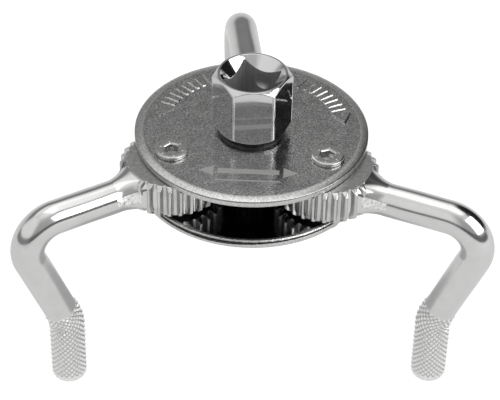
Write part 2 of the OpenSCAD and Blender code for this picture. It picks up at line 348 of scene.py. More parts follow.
def trimmed_flash():
    """The patches beside the collar where the forging's flash was sheared off."""
    m = Mat("trimmed_flash", (0.85, 0.85, 0.84), metallic=0.6, rough=0.3)
    torn = m.noise(1.1, 4.0, rough=0.7)
    m.vary("Base Color", torn, [
        (0.36, (0.40, 0.40, 0.395)), (0.46, (0.88, 0.88, 0.87)), (0.68, (0.98, 0.98, 0.97))])
    m.bump(torn, 0.12)
    return m.mat


def bright_zinc():
    m = Mat("bright_zinc", (0.52, 0.52, 0.515), rough=0.24)
    m.vary("Base Color", m.noise(1.6, 3.0), [(0.3, (0.42, 0.42, 0.415)), (0.7, (0.58, 0.58, 0.57))])
    m.bump(m.noise(2.0, 3.0), 0.006)
    return m.mat


def etched():
    """Laser-frosted plating: paler and more matt than the plate."""
    m = Mat("etched", (0.36, 0.36, 0.355), metallic=0.5, rough=0.6)
    m.vary("Base Color", m.noise(2.0, 3.0), [(0.3, (0.31, 0.31, 0.305)), (0.7, (0.40, 0.40, 0.395))])
    return m.mat


def greased_steel():
    m = Mat("greased_steel", (0.16, 0.16, 0.165), rough=0.3, coat=0.3)
    m.vary("Base Color", m.noise(0.7, 3.0), [(0.3, (0.10, 0.10, 0.105)), (0.7, (0.22, 0.22, 0.225))])
    m.bump(m.noise(1.0, 3.0), 0.02)
    return m.mat


# Real black oxide on the washers and the retaining ring; on the drive spindle's neck and the hex's underside
# it is painted shade
def black_oxide_and_shade():
    m = Mat("black_oxide_and_shade", (0.04, 0.04, 0.045), metallic=0.7, rough=0.4)
    m.vary("Base Color", m.noise(1.2, 3.0), [(0.3, (0.02, 0.02, 0.022)), (0.7, (0.07, 0.07, 0.075))])
    m.bump(m.noise(2.0, 3.0), 0.01)
    return m.mat


def nylon():
    m = Mat("nylon", (0.10, 0.22, 0.45), metallic=0.0, rough=0.45)
    m.vary("Base Color", m.noise(0.6, 2.0), [(0.3, (0.08, 0.18, 0.38)), (0.7, (0.13, 0.26, 0.50))])
    m.bump(m.noise(1.5, 2.0), 0.01)
    return m.mat


MATS = {f.__name__: f() for f in (
    zinc_face, sheared_edge, seam, gritty_line, torn_edge, dark_mirror, inner_face_shade, polished_chrome,
    zinc_roll_highlight, socket_wall, satin_chrome, knurled_chrome, knurl_groove_shade, hub_face, tooth_steel,
    trimmed_flash, bright_zinc, etched, greased_steel, black_oxide_and_shade, nylon)}

# ------------------------------------------------------------------ mesh helpers


def mesh_object(name, verts_mm, faces, mats, face_mats=None, crease=35, weighted=True):
    """A smooth-shaded object from millimetre points, its corners over `crease` degrees kept sharp."""
    mesh = bpy.data.meshes.new(name)
    mesh.from_pydata([tuple(v) for v in np.asarray(verts_mm) * MM], [], [tuple(f) for f in faces])
    for m in mats:
        mesh.materials.append(MATS[m])
    if face_mats is not None:
        mesh.polygons.foreach_set("material_index", np.asarray(face_mats, dtype=np.int32))
    obj = bpy.data.objects.new(name, mesh)
    bpy.context.scene.collection.objects.link(obj)
    clean(mesh)
    shade(obj, crease, weighted)
    return obj


def clean(mesh):
    """Merges doubled points, drops faces of no size and turns the rest outwards."""
    bm = bmesh.new()
    bm.from_mesh(mesh)
    bmesh.ops.remove_doubles(bm, verts=bm.verts, dist=1e-7)
    bmesh.ops.dissolve_degenerate(bm, edges=bm.edges, dist=1e-7)
    bmesh.ops.recalc_face_normals(bm, faces=bm.faces)
    bm.to_mesh(mesh)
    bm.free()


def shade(obj, crease, weighted=True):
    """Smooth shading, with edges over `crease` degrees kept sharp."""
    bm = bmesh.new()
    bm.from_mesh(obj.data)
    for e in bm.edges:
        e.smooth = e.calc_face_angle(0) < math.radians(crease)
    for f in bm.faces:
        f.smooth = True
    bm.to_mesh(obj.data)
    bm.free()
    if weighted:
        w = obj.modifiers.new("weighted", "WEIGHTED_NORMAL")
        w.keep_sharp = True
        w.weight = 80


def soften(points, steps=3):
    """Turns each corner of a profile of (r, z, size, material) into a short curve of that size.
    Size 0 keeps a corner sharp, and both ends have it."""
    out = []
    for i, (r, z, size, mat) in enumerate(points):
        if size <= 0:
            out.append((r, z, mat))
            continue
        p = np.array([r, z])
        ends = []
        for q in (points[i - 1], points[i + 1]):
            d = np.array(q[:2]) - p
            n = np.linalg.norm(d)
            ends.append(p + d * (min(size, 0.45 * n) / n if n > 1e-9 else 0))
        for k in range(steps + 1):
            t = k / steps
            c = (1 - t) ** 2 * ends[0] + 2 * t * (1 - t) * p + t ** 2 * ends[1]
            out.append((c[0], c[1], mat if t > 0.5 else points[i - 1][3]))
    return out


def polar_solid(name, thetas, profile_at, mats, closed, centre=(0, 0), turn=0.0, **shading):
    """A closed solid whose section at each angle is profile_at(theta), a list of (r, z, material).
    A closed section makes a ring; an open one starts and ends on the axis."""
    columns = [profile_at(t) for t in thetas]
    n, m = len(thetas), len(columns[0])
    pts = np.array([[(c[0], c[1]) for c in col] for col in columns])
    ang = np.asarray(thetas) + math.radians(turn)
    x = pts[:, :, 0] * np.cos(ang)[:, None] + centre[0]
    y = pts[:, :, 0] * np.sin(ang)[:, None] + centre[1]
    verts = np.stack([x, y, pts[:, :, 1]], axis=2).reshape(-1, 3)
    tags = [[mats.index(c[2]) for c in col] for col in columns]
    faces, face_mats = [], []
    for i in range(n):
        j = (i + 1) % n
        for k in range(m if closed else m - 1):
            l = (k + 1) % m
            faces.append((i * m + k, j * m + k, j * m + l, i * m + l))
            face_mats.append(tags[i][k])
    return mesh_object(name, verts, faces, mats, face_mats, **shading)


def ring_angles(step_deg, clusters=()):
    """Angles round a full turn, crowded near the given (centre, half width, step) places."""
    angles = list(np.arange(0, 360, step_deg))
    for centre, half, step in clusters:
        angles = [a for a in angles if abs((a - centre + 540) % 360 - 180) > half + 0.5 * step]
        angles += list((centre + np.arange(-half, half + 1e-6, step)) % 360)
    return np.radians(sorted(set(np.round(angles, 4))))


def rounded_polygon_r(theta, sides, apothem, corner_r, first=0.0):
    """Distance to a rounded regular polygon's wall, with a corner at angle `first`."""
    pitch = 2 * math.pi / sides
    half = pitch / 2
    a = (theta - math.radians(first) + half) % pitch - half
    flat = apothem / math.cos(half - abs(a))
    d = (apothem - corner_r) / math.cos(half)
    s = d * math.sin(a)
    if abs(s) >= corner_r:
        return flat
    arc = d * math.cos(a) + math.sqrt(corner_r ** 2 - s ** 2)
    return min(flat, arc)


def smoothstep(x):
    x = np.clip(x, 0, 1)
    return x * x * (3 - 2 * x)


def cut(obj, cutters):
    """Cuts closed cutter objects out of obj for good."""
    for c in cutters:
        b = obj.modifiers.new("cut", "BOOLEAN")
        b.operation, b.solver, b.object = "DIFFERENCE", "EXACT", c
        b.material_mode = "TRANSFER"
    apply_all(obj)
    for c in cutters:
        bpy.data.objects.remove(c)


def apply_all(obj):
    dg = bpy.context.evaluated_depsgraph_get()
    mesh = bpy.data.meshes.new_from_object(obj.evaluated_get(dg), depsgraph=dg)
    obj.modifiers.clear()
    obj.data = mesh


def drill(obj, low, high, mat):
    """Cuts the three pivot bores through a plate that lies from low to high."""
    section = [(0, low - 1, mat), (PIVOT_BORE_R, low - 1, mat),
               (PIVOT_BORE_R, high + 1, mat), (0, high + 1, mat)]
    cut(obj, [polar_solid("drill", ring_angles(5), lambda t: section, [mat], False, p.xy, weighted=False)
              for n, p in PIVOTS.items() if n != "spindle"])


# ------------------------------------------------------------------ plates


def mark_height(r, theta):
    """Height of the raised two-way marks at a place on the top plate."""
    tick_w, tick_len = TICK_HALF
    head_from, head_w, head_len, head_slant = 20, 3.0, 5, 0.86
    soft = 0.28
    height = 0.0
    for centre in (SIDES["left"] - MARK_TURN, SIDES["right"] + MARK_TURN):
        a = (math.degrees(theta) - centre + 540) % 360 - 180
        if abs(a) > MARK_HALF:
            continue
        for i in range(-3, 4):
            off = math.radians(a - i * TICK_PITCH) * r
            d = max(abs(off) - tick_w, abs(r - MARK_R) - tick_len)
            height = max(height, smoothstep(0.5 - d / soft))
        along = math.radians(abs(a) - head_from) * MARK_R
        d = max(-along, (abs(r - MARK_R) - head_w * (1 - along / head_len)) * head_slant)
        height = max(height, smoothstep(0.5 - d / soft))
    return MARK_H * float(height)


def top_plate():
    """Flat sheet with raised marks, whose edge rolls down to a step and a sheared rim."""
    roll_w, roll_h, roll_drop = 2.2, 0.5, 0.34
    step = PLATE_R - 0.13
    hole = BEARING_R + 0.05
    outer = [(PLATE_R - 0.3 + 0.3 * math.sin(a), PLATE_Z - roll_h + 0.16 * math.cos(a))
             for a in np.radians([90, 72, 54, 36])]
    outer += [(PLATE_R - 0.06 - roll_w * (1 - u), PLATE_Z - roll_drop * u ** 1.5)
              for u in np.linspace(0.88, 0, 14)]
    radii = np.concatenate([np.linspace(PLATE_R - roll_w - 0.3, 31.4, 5), np.arange(31.2, 24.7, -0.13),
                            np.linspace(24.5, 9.6, 16)])

    def profile(t):
        # The underside and the hole's edge are painted near black: painted shade under the plate
        p = [(hole, TOP_UNDER, "inner_face_shade"), (20, TOP_UNDER, "inner_face_shade"),
             (PLATE_R - 0.35, TOP_UNDER, "sheared_edge"),
             (PLATE_R - 0.12, TOP_UNDER + 0.08, "sheared_edge"),
             (PLATE_R, TOP_UNDER + 0.3, "sheared_edge"),
             (PLATE_R + 0.01, PLATE_Z - roll_h - 0.32, "seam"),
             (step, PLATE_Z - roll_h - 0.24, "seam"), (step, PLATE_Z - roll_h - 0.08, "seam")]
        # The rolled edge takes the lighter zinc: a painted highlight
        p += [(r, z, "zinc_roll_highlight") for r, z in outer]
        p += [(r, PLATE_Z + mark_height(r, t), "zinc_face") for r in radii]
        p += [(9.25, PLATE_Z, "zinc_face"), (9.08, PLATE_Z - 0.15, "zinc_face"),
              (hole, PLATE_Z - 0.4, "inner_face_shade")]
        return p

    rows = [(SIDES["left"] - MARK_TURN, 31, 0.25), (SIDES["right"] + MARK_TURN, 31, 0.25)]
    obj = polar_solid("top_plate_shell", ring_angles(1.0, rows), profile,
                      ["inner_face_shade", "sheared_edge", "seam", "zinc_roll_highlight", "zinc_face"], True,
                      weighted=False)
    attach(obj, "plates")
    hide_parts("top_plate")
    # The bores are painted near black as shade too
    drill(obj, TOP_UNDER, PLATE_Z, "inner_face_shade")
    shade(obj, 38, weighted=False)


def bottom_plate():
    """Flat sheet with a burr below its rim and a torn band that wanders round it."""
    hole = JOURNAL_R + 0.05
    tear_width = 22
    waves = rng.normal(size=(6, 2)) * 0.045

    def wander(t):
        return sum(a * math.sin((i + 3) * 17 * t + b * 40) for i, (a, b) in enumerate(waves))

    def profile(t):
        w, v = wander(t), wander(t + 2.1)
        off = (math.degrees(t) - TEAR_AT + 180) % 360 - 180
        deep = 0.4 + 0.6 * math.exp(-(off / tear_width) ** 2)
        p = [(hole, UNDER_Z, 0, "dark_mirror"), (PLATE_R - 1.0, UNDER_Z, 0.1, "sheared_edge"),
             (PLATE_R - 0.4, UNDER_Z - 0.3, 0.15, "sheared_edge"),
             (PLATE_R, UNDER_Z + 0.2, 0.2, "sheared_edge"),
             (PLATE_R, FLOOR_Z - 0.8 - 0.95 * deep + w, 0.05, "gritty_line"),
             (PLATE_R - 0.22, FLOOR_Z - 0.75 - 0.8 * deep + w, 0.05, "gritty_line"),
             (PLATE_R - 0.2, FLOOR_Z - 0.72 + v, 0.05, "gritty_line"),
             (PLATE_R - 0.02 + v, FLOOR_Z - 0.55 + v, 0.05, "torn_edge"),
             (PLATE_R - 0.35 + v, FLOOR_Z - 0.12, 0.1, "torn_edge"),
             (PLATE_R - 1.0, FLOOR_Z, 0.1, "dark_mirror"), (hole, FLOOR_Z, 0, "dark_mirror")]
        return soften(p, 2)

    obj = polar_solid("bottom_plate_shell", ring_angles(0.75), profile,
                      ["dark_mirror", "sheared_edge", "gritty_line", "torn_edge"], True)
    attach(obj, "plates")
    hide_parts("bottom_plate")
    drill(obj, UNDER_Z, FLOOR_Z, "dark_mirror")
    shade(obj, 38)


def prism(name, outline, low, high, mat):
    """A flat piece with straight sides from an outline in mm."""
    n = len(outline)
    verts = [(x, y, low) for x, y in outline] + [(x, y, high) for x, y in outline]
    faces = [tuple(range(n))[::-1], tuple(range(n, 2 * n))]
    faces += [(i, (i + 1) % n, n + (i + 1) % n, n + i) for i in range(n)]
    return mesh_object(name, verts, faces, [mat], weighted=False)


def join(name, objs):
    """Joins objects into the first, keeping every part closed."""
    with bpy.context.temp_override(active_object=objs[0], selected_editable_objects=objs):
        bpy.ops.object.join()
    objs[0].name = name
    return objs[0]


def etched_mark():
    """A frosted two-way arrow at the front of the top plate, with a ruled line below it."""
    low, high = PLATE_Z - 0.01, PLATE_Z + 0.012
    y_mid, head_w, shaft_w, shaft_len, line_len = -21.3, 4.6, 2.2, 18.0, 19.0

    def band(length, y_low, y_high):
        return [(-length / 2, y_low), (length / 2, y_low), (length / 2, y_high), (-length / 2, y_high)]

    outlines = []
    for side in (-1, 1):
        tip, base = side * 14.6, side * 10.2
        outlines.append([(tip, y_mid), (base, y_mid + side * head_w / 2), (base, y_mid - side * head_w / 2)])
    outlines.append(band(shaft_len, y_mid - shaft_w / 2, y_mid + shaft_w / 2))
    outlines.append(band(line_len, y_mid - 4.6, y_mid - 4.0))
    obj = join("etched_mark", [prism("etch", p, low, high, "etched") for p in outlines])
    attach(obj, "plates")


# ------------------------------------------------------------------ drive spindle


def detent_ball():
    """The ball that leaves the detent recess in one wall of the square socket."""
    steps = 40
    mat = "socket_wall"
    half_turn = [math.pi * k / steps for k in range(steps + 1)]
    profile = [(DETENT_R * math.sin(a), -DETENT_R * math.cos(a), mat) for a in half_turn]
    ball = polar_solid("ball", ring_angles(6), lambda t: profile, [mat], False, weighted=False)
    a = math.radians(HEAD_TURN + SQUARE_TURN)
    out = DRIVE_SQ / 2 - DETENT_R + DETENT_DEPTH
    centre = Vector((out * math.cos(a), out * math.sin(a), HEAD_TOP - DETENT_DROP))
    ball.data.transform(Matrix.Translation(centre * MM))
    return ball


def drive_spindle():
    """Hex head with its square socket, neck, two-flat shank, and journal with a ring groove."""
    ring_r, sink_r, corner = HEX_AF / 2 - 0.2, 9.7, 0.35
    hex_low = PLATE_Z + NECK_RISE
    slope = math.tan(math.radians(40))
    floor_z = HEAD_TOP - SOCKET_DEPTH
    wall_rows = 10
    first_corner = SQUARE_TURN + 45
    # The black oxide under the hex and on the neck is painted shade beneath the head
    chrome, broach, black, steel = "polished_chrome", "socket_wall", "black_oxide_and_shade", "greased_steel"

    def profile(t):
        rh = rounded_polygon_r(t, 6, HEX_AF / 2, 0.5)
        rs = rounded_polygon_r(t, 4, DRIVE_SQ / 2, 0.7, first_corner)
        flat = min(SHANK_R, SHANK_HALF / max(abs(math.cos(t)), 1e-6))
        sink_z = HEAD_TOP - (sink_r - rs)
        wall = [floor_z + (sink_z - floor_z) * k / wall_rows for k in range(1, wall_rows)]
        p = [(0, floor_z - 0.6, 0, broach), (rs - 1.2, floor_z, 0, broach), (rs, floor_z, 0.3, broach)]
        p += [(rs, z, 0, broach) for z in wall]
        drop = max(rh - ring_r, 0.01) * slope
        p += [(rs, sink_z, 0.16, chrome), (sink_r, HEAD_TOP, 0.12, chrome), (ring_r, HEAD_TOP, 0.1, chrome),
              (rh, HEAD_TOP - drop, corner, chrome), (rh, (HEAD_TOP + hex_low) / 2, 0, chrome),
              (rh, hex_low + drop, corner, chrome), (ring_r, hex_low, 0.15, chrome),
              (NECK_TOP_R, hex_low, 0.1, black), (NECK_RING_R, hex_low - 0.35, 0, steel),
              (NECK_RING_R, PLATE_Z + 0.75, 0, steel), (NECK_R, PLATE_Z + 0.6, 0, black),
              (NECK_R, PLATE_Z + 0.1, 0, black), (BEARING_R, PLATE_Z - 0.3, 0, steel),
              (BEARING_R, TOP_UNDER + 0.1, 0.1, steel), (flat, GEAR_TOP, 0.05, steel),
              (flat, GEAR_LOW + 0.2, 0, steel), (JOURNAL_R, GEAR_LOW, 0.05, steel),
              (JOURNAL_R, GROOVE_Z[1], 0, steel), (GROOVE_R, GROOVE_Z[1], 0, steel),
              (GROOVE_R, GROOVE_Z[0], 0, steel), (JOURNAL_R, GROOVE_Z[0], 0, steel),
              (JOURNAL_R, SPINDLE_END + 0.6, 0.2, steel), (5.4, SPINDLE_END, 0.1, steel),
              (1.6, SPINDLE_END, 0.1, steel), (0.9, SPINDLE_END + 0.9, 0.1, steel),
              (0, SPINDLE_END + 1.5, 0, steel)]
        return soften(p, 3)

    clusters = [(60 * k, 4.2, 0.35) for k in range(6)]
    clusters += [((first_corner + 90 * k) % 360, 7, 0.7) for k in range(4)]
    obj = polar_solid("drive_spindle_body", ring_angles(1.5, clusters), profile,
                      [chrome, broach, black, steel], False, turn=HEAD_TURN, weighted=False)
    cut(obj, [detent_ball()])
    shade(obj, 40)
    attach(obj, "spindle")
    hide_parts("drive_spindle")


# ------------------------------------------------------------------ arms


def involute(rb, r):
    t = math.sqrt(max(0.0, (r / rb) ** 2 - 1))
    return t - math.atan(t)


def tooth_outline():
    """(angle, radius) points of one tooth and the gap after it, from gap middle to gap middle."""
    rb = ARM_PITCH_R * math.cos(PRESSURE)
    root, tip = ROOT_R, HUB_TIP_R
    pitch = 2 * math.pi / ARM_TEETH
    relief = 0.09

    def half(r):
        base = math.pi / 2 / ARM_TEETH - relief / ARM_PITCH_R
        return base + involute(rb, ARM_PITCH_R) - involute(rb, max(r, rb))

    flank = [(half(r), r) for r in np.linspace(root + 0.35, tip - 0.16, 5)]
    top = half(tip - 0.16)
    left = [(-pitch / 2, root), (-half(root) - 0.022, root), (-half(root) - 0.006, root + 0.12)]
    left += [(-a, r) for a, r in flank] + [(-top + 0.008, tip - 0.04), (-top + 0.018, tip)]
    return left + [(0, tip)] + [(-a, r) for a, r in left[::-1][:-1]]


def hub(side):
    """The toothed hub of an arm, in the arm's own axes (X along the arm, pivot at the origin)."""
    bevel, upper_slope, lower_slope = 1.8, 0.62, 0.75
    bore = SLEEVE_R + 0.05
    first = 180 - SWING[side] + 180 / ARM_TEETH
    points = []
    for i in range(ARM_TEETH):
        a0 = (first + i * 360 / ARM_TEETH + 540) % 360 - 180
        toothless = abs(a0) <= ROOT_HALF
        for a, r in tooth_outline():
            points.append((math.radians(a0) + a, ROOT_R if toothless else r))
    radius = dict(sorted({round(a % (2 * math.pi), 6): r for a, r in points}.items()))

    def profile(t):
        r = radius[t]
        flat = min(r, HUB_TIP_R - bevel)
        drop, under = max(r - flat, 0.1) * upper_slope, max(r - flat, 0.1) * lower_slope
        p = [(bore, GEAR_LOW + 0.3, 0, "hub_face"), (bore + 0.3, GEAR_LOW, 0, "hub_face"),
             (flat - 0.1, GEAR_LOW, 0.12, "tooth_steel"), (r, GEAR_LOW + under, 0.2, "tooth_steel"),
             (r, GEAR_TOP - drop, 0.2, "tooth_steel"), (flat, GEAR_TOP, 0.12, "hub_face"),
             (bore + 0.3, GEAR_TOP, 0, "hub_face"), (bore, GEAR_TOP - 0.3, 0, "hub_face")]
        return soften(p, 2)

    return polar_solid("hub", list(radius), profile, ["hub_face", "tooth_steel"], True, weighted=False)


def arm_path():
    """Stations (x, z, direction) along the arm in its upright plane, and the knurl's first one."""
    lean = math.atan((ELBOW_REACH - TIP_REACH) / (ROD_Z - KNEE_Z))
    turn = math.pi / 2 + lean
    t1 = ELBOW_R * math.tan(turn / 2)
    t2 = KNEE_R * math.tan(lean / 2)
    leg = (ROD_Z - KNEE_Z) / math.cos(lean)
    ring = KNURL_PITCH / 8
    out = []

    def straight(x, z, a, length, n):
        for k in range(n):
            d = length * k / n
            out.append((x + d * math.cos(a), z + d * math.sin(a), a))
        return x + length * math.cos(a), z + length * math.sin(a)

    def arc(x, z, a, r, sweep, n):
        side = math.copysign(1, sweep)
        cx, cz = x - side * r * math.sin(a), z + side * r * math.cos(a)
        for k in range(n):
            b = a + sweep * k / n
            out.append((cx + side * r * math.sin(b), cz - side * r * math.cos(b), b))
        b = a + sweep
        return cx + side * r * math.sin(b), cz - side * r * math.cos(b), b

    x, z = straight(9.0, ROD_Z, 0.0, 16.0, 40)
    x, z = straight(x, z, 0.0, ELBOW_REACH - t1 - x, 8)
    x, z, a = arc(x, z, 0.0, ELBOW_R, -turn, 44)
    knurl = KNURL_RISE + 0.6
    x, z = straight(x, z, a, leg - t1 - KNURL_RISE - 0.6, 10)
    start = len(out)
    x, z = straight(x, z, a, knurl - t2, round((knurl - t2) / ring))
    x, z, a = arc(x, z, a, KNEE_R, lean, round(KNEE_R * lean / ring))
    x, z = straight(x, z, a, z - TIP_ROUND, round((z - TIP_ROUND) / ring))
    out.append((x, z, a))
    return out, start


REAR_FLANK = {"rear": 1, "left": -1, "right": 1}    # the side of each bar that faces away at rest
BAR_MATS = ["satin_chrome", "knurled_chrome", "trimmed_flash", "knurl_groove_shade", "gritty_line"]
SMOOTH, KNURLED, FLASH, GROOVE_SHADE, TORN = range(len(BAR_MATS))
COLLAR_X = 12.5
COLLAR_FADE = 7
COLLAR_END = 26
FLASH_X = (13.6, 20.5)
TORN_X = (12.2, 15.8)


def superellipse(phi, half_w, half_h, power):
    c, s = math.cos(phi), math.sin(phi)
    across = half_w * math.copysign(abs(c) ** (2 / power), c)
    up = half_h * math.copysign(abs(s) ** (2 / power), s)
    return across, up


def groove(x):
    """0 at the bottom of a knurl groove, 1 on its lands."""
    f = x % 1
    return min(1.0, min(f, 1 - f) * 2.3)


def bar(side):
    """The arm's bar as one skin: collar, round bar, elbow, leg, and the real diamonds of the knurl."""
    path, knurl_start = arm_path()
    around = 8 * KNURL_COUNT
    phis = [2 * math.pi * j / around for j in range(around)]
    verts, mats, lands = [], [], []
    dist = 0.0
    knurl_dist = None
    seed = SIDES[side] * 0.01
    rough = rng.normal(size=(len(path), around))
    for _ in range(2):
        rough = (rough + np.roll(rough, 1, 0) + np.roll(rough, 1, 1) + np.roll(rough, -1, 1)) / 2.6

    def land(j, along):
        """Height of the knurl, 0 to 1, at point j round the bar and `along` mm below the knurl's start."""
        u = KNURL_COUNT * j / around
        v = along / KNURL_PITCH
        return min(groove(u + v), groove(u - v))

    for i, (x, z, a) in enumerate(path):
        if i:
            dist += math.hypot(x - path[i - 1][0], z - path[i - 1][1])
        if i == knurl_start:
            knurl_dist = dist
        on_rod = a == 0
        on_collar = on_rod and x < COLLAR_END
        near = max(0.0, 1 - (x - COLLAR_X) / COLLAR_FADE) ** 2 if on_collar else 0.0
        half_w = ROD_R + 2.2 * near
        half_h = ROD_R + 0.4 * near ** 0.5
        power = 2 + 1.2 * near
        lift = 0.9 * near ** 0.5
        lowest = GEAR_LOW + 0.12 - ROD_Z if x < 14.5 else -99
        highest = GEAR_TOP - 0.35 - ROD_Z
        row_mats, row_lands = [], []
        for j, phi in enumerate(phis):
            w, h = superellipse(phi, half_w, half_h, power)
            h += lift
            if on_collar:
                h = min(max(h, lowest), highest)
            k = 1.0
            cut_in = False
            if knurl_dist is None:
                lump = math.sin(3 * phi + dist * 0.33 + seed * 9) + math.sin(2 * phi - dist * 0.21 + seed * 5)
                k += 0.0035 * lump * min(1, dist / 12)
            else:
                g = land(j, dist - knurl_dist)
                ramp = float(smoothstep((dist - knurl_dist) / 1.6))
                k = 1 + ramp * ((KNURL_R - KNURL_DEPTH + KNURL_DEPTH * g) / ROD_R - 1)
                cut_in = ramp > 0.2 + 0.12 * rough[i, j]
            w, h = w * k, h * k
            flash = (on_rod and FLASH_X[0] < x < FLASH_X[1]
                     and abs(h - lift - 0.9) < 2.0 - 0.14 * (x - FLASH_X[0]))
            if flash:
                w += math.copysign(0.22 * abs(rough[i, j]), w)
            verts.append((x - h * math.sin(a), w, z + h * math.cos(a)))
            torn = (on_rod and TORN_X[0] < x < TORN_X[1] and 1.6 < h - lift < 4.2
                    and w * REAR_FLANK[side] > 3.5)
            row_mats.append(TORN if torn else FLASH if flash else KNURLED if cut_in else SMOOTH)
            row_lands.append(g if cut_in and ramp > 0.3 else 1.0)
        mats.append(row_mats)
        lands.append(row_lands)

    # The painted groove shade stops where the end starts to round
    lands[-1] = [1.0] * around
    x, z, a = path[-1]
    for k in range(1, CAP_ROWS):
        b = math.pi / 2 * k / CAP_ROWS
        row_lands = []
        for j, phi in enumerate(phis):
            g = land(j, dist + TIP_ROUND * math.sin(b) - knurl_dist) * math.cos(b) ** 0.5
            r = KNURL_R - TIP_ROUND * (1 - math.cos(b)) - KNURL_DEPTH * (1 - g) * math.cos(b)
            verts.append((x + r * math.sin(phi), r * math.cos(phi), TIP_ROUND * (1 - math.sin(b))))
            row_lands.append(g + 1 - math.cos(b))
        mats.append([KNURLED] * around)
        lands.append(row_lands)

    rows = len(mats)
    n = len(verts)
    verts += [(path[0][0], 0, ROD_Z + 0.95), (TIP_REACH, 0, 0.0)]
    faces, face_mats = [], []
    for i in range(rows - 1):
        for j in range(around):
            l = (j + 1) % around
            faces.append((i * around + j, (i + 1) * around + j, (i + 1) * around + l, i * around + l))
            # Faces low in a knurl groove get the darker groove material: painted shade
            height = (lands[i][j] + lands[i + 1][j] + lands[i + 1][l] + lands[i][l]) / 4
            face_mats.append(GROOVE_SHADE if height < 0.3 else mats[i][j])
    for j in range(around):
        l = (j + 1) % around
        faces += [(n, j, l), (n + 1, (rows - 1) * around + l, (rows - 1) * around + j)]
        face_mats += [SMOOTH, KNURLED]
    return mesh_object("bar", verts, faces, BAR_MATS, face_mats, crease=60, weighted=False)


def arm(side):
    """Hub and bar welded into one forging, turned to the angle at which the arm rests."""
    forging, skin = hub(side), bar(side)
    weld = forging.modifiers.new("weld", "BOOLEAN")
    weld.operation, weld.solver, weld.object = "UNION", "EXACT", skin
    weld.material_mode = "TRANSFER"
    apply_all(forging)
    bpy.data.objects.remove(skin)
    forging.name = "arm_" + side + "_forging"
    turn = Matrix.Rotation(math.radians(SIDES[side]) + math.radians(SWING[side]), 4, "Z")
    forging.data.transform(Matrix.Translation(PIVOTS["arm_" + side].xy.to_3d() * MM) @ turn)
    clean(forging.data)
    shade(forging, 38)
    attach(forging, "arm_" + side)
    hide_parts("arm_" + side)


# ------------------------------------------------------------------ fasteners


def pivot_screw(side):
    """Low round head with a hex key socket and six raised dots, and a threaded end."""
    m = "bright_zinc"
    r = SCREW_HEAD_R
    key_floor = SCREW_TOP - SCREW_KEY_DEPTH
    degrees_in_radian = 57.3

    def profile(t):
        key = rounded_polygon_r(t, 6, SCREW_KEY, 0.15)
        p = [(0, key_floor - 0.4, 0, m), (key * 0.9, key_floor, 0, m), (key, key_floor, 0.1, m),
             (key, SCREW_TOP - 0.35, 0.1, m), (key + 0.35, SCREW_TOP, 0.1, m)]
        for q in (2.9, 3.1, 3.3, 3.5, 3.7, 3.9):
            off = ((math.degrees(t) + 30) % 60 - 30) / degrees_in_radian * q
            d = math.hypot(off, q - DOT_R)
            p.append((q, SCREW_TOP + 0.1 * float(smoothstep((0.42 - d) / 0.3)), 0, m))
        p += [(r - 0.3, SCREW_TOP - 0.02, 0.2, m), (r, SCREW_TOP - 0.35, 0.2, m),
              (r + 0.02, PLATE_Z + 0.2, 0.1, m), (r - 0.2, PLATE_Z - 0.01, 0.1, m),
              (3.05, PLATE_Z - 0.01, 0, m), (THREAD_R, PLATE_Z - 0.2, 0, m),
              (THREAD_R, THREAD_TOP + 0.1, 0, m)]
        for k in range(THREAD_ROWS):
            z = THREAD_TOP - (THREAD_TOP - SCREW_END - 0.7) * k / (THREAD_ROWS - 1)
            f = (z + t / (2 * math.pi)) % 1.0
            p.append((THREAD_R - THREAD_DEPTH * (1 - abs(2 * f - 1)), z, 0, m))
        p += [(2.4, SCREW_END + 0.3, 0, m), (2.2, SCREW_END, 0, m), (0, SCREW_END, 0, m)]
        return soften(p, 2)

    angles = ring_angles(4.0, [(60 * k, 6, 1.5) for k in range(6)])
    obj = polar_solid("pivot_screw_body_" + side, angles, profile, [m], False,
                      PIVOTS["arm_" + side].xy, turn=SIDES[side] * 1.3 + 12, crease=45)
    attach(obj, "plates")
    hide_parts("pivot_screw_" + side)


def dress_cad_nodes():
    """Gives each CAD node that stays its procedural material."""
    finish = {"sun_gear": "greased_steel", "sun_washer": "black_oxide_and_shade", "spindle_washer": "bright_zinc",
              "retaining_ring": "black_oxide_and_shade", "pivot_sleeve": "greased_steel", "arm_washer": "black_oxide_and_shade",
              "lock_nut": "bright_zinc", "nut_insert": "nylon", "top_plate": "zinc_face",
              "bottom_plate": "dark_mirror", "drive_spindle": "polished_chrome", "arm_": "satin_chrome",
              "pivot_screw": "bright_zinc"}
    for name, obj in frame["nodes"].items():
        key = next((k for k in sorted(finish, key=len, reverse=True) if name.startswith(k)), None)
        obj.data.materials.clear()
        obj.data.materials.append(MATS[finish[key]])


# ------------------------------------------------------------------ stage


